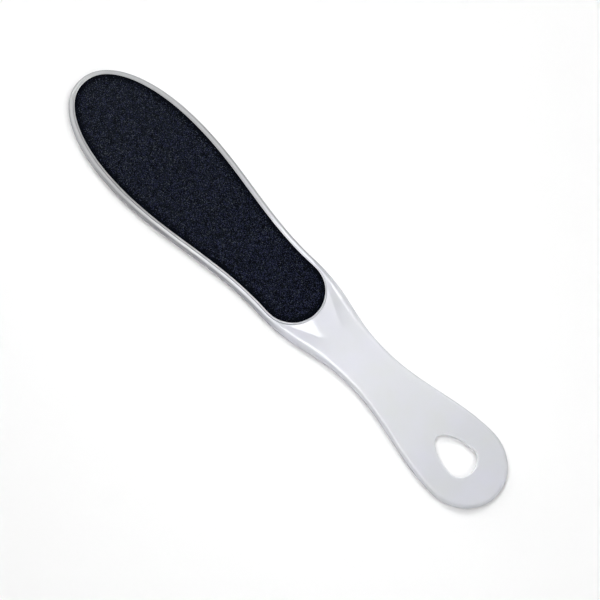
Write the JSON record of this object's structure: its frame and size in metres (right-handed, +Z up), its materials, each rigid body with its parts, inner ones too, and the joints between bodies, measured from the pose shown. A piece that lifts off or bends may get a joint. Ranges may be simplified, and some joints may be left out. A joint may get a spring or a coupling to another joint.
{
  "type": "foot file",
  "caption": "Paddle-shaped foot file: a glossy white moulded handle and head with a coated abrasive sheet bonded to each face and a teardrop hanging eye.",
  "frame": {"origin": "under the middle of the bounding box, on the plane of the back abrasive that the file lies on", "axes": "+X along the file from the head towards the handle's end, +Y across it, +Z up out of the front abrasive"},
  "size_m": [0.255, 0.0488, 0.0073],
  "materials": {
    "white_plastic": "glossy moulded plastic",
    "adhesive_film": "clear amber film",
    "abrasive_backing": "dark waterproof backing, matt cut edge",
    "coarse_grit": "near-black coarse mineral coat with fine sparkle",
    "fine_grit": "near-black fine mineral coat"
  },
  "bodies": {
    "root": {"paddle_body": "white_plastic", "front_adhesive": "adhesive_film", "front_backing": "abrasive_backing", "front_grit": "coarse_grit", "back_adhesive": "adhesive_film", "back_backing": "abrasive_backing", "back_grit": "fine_grit"}
  },
  "joints": []
}
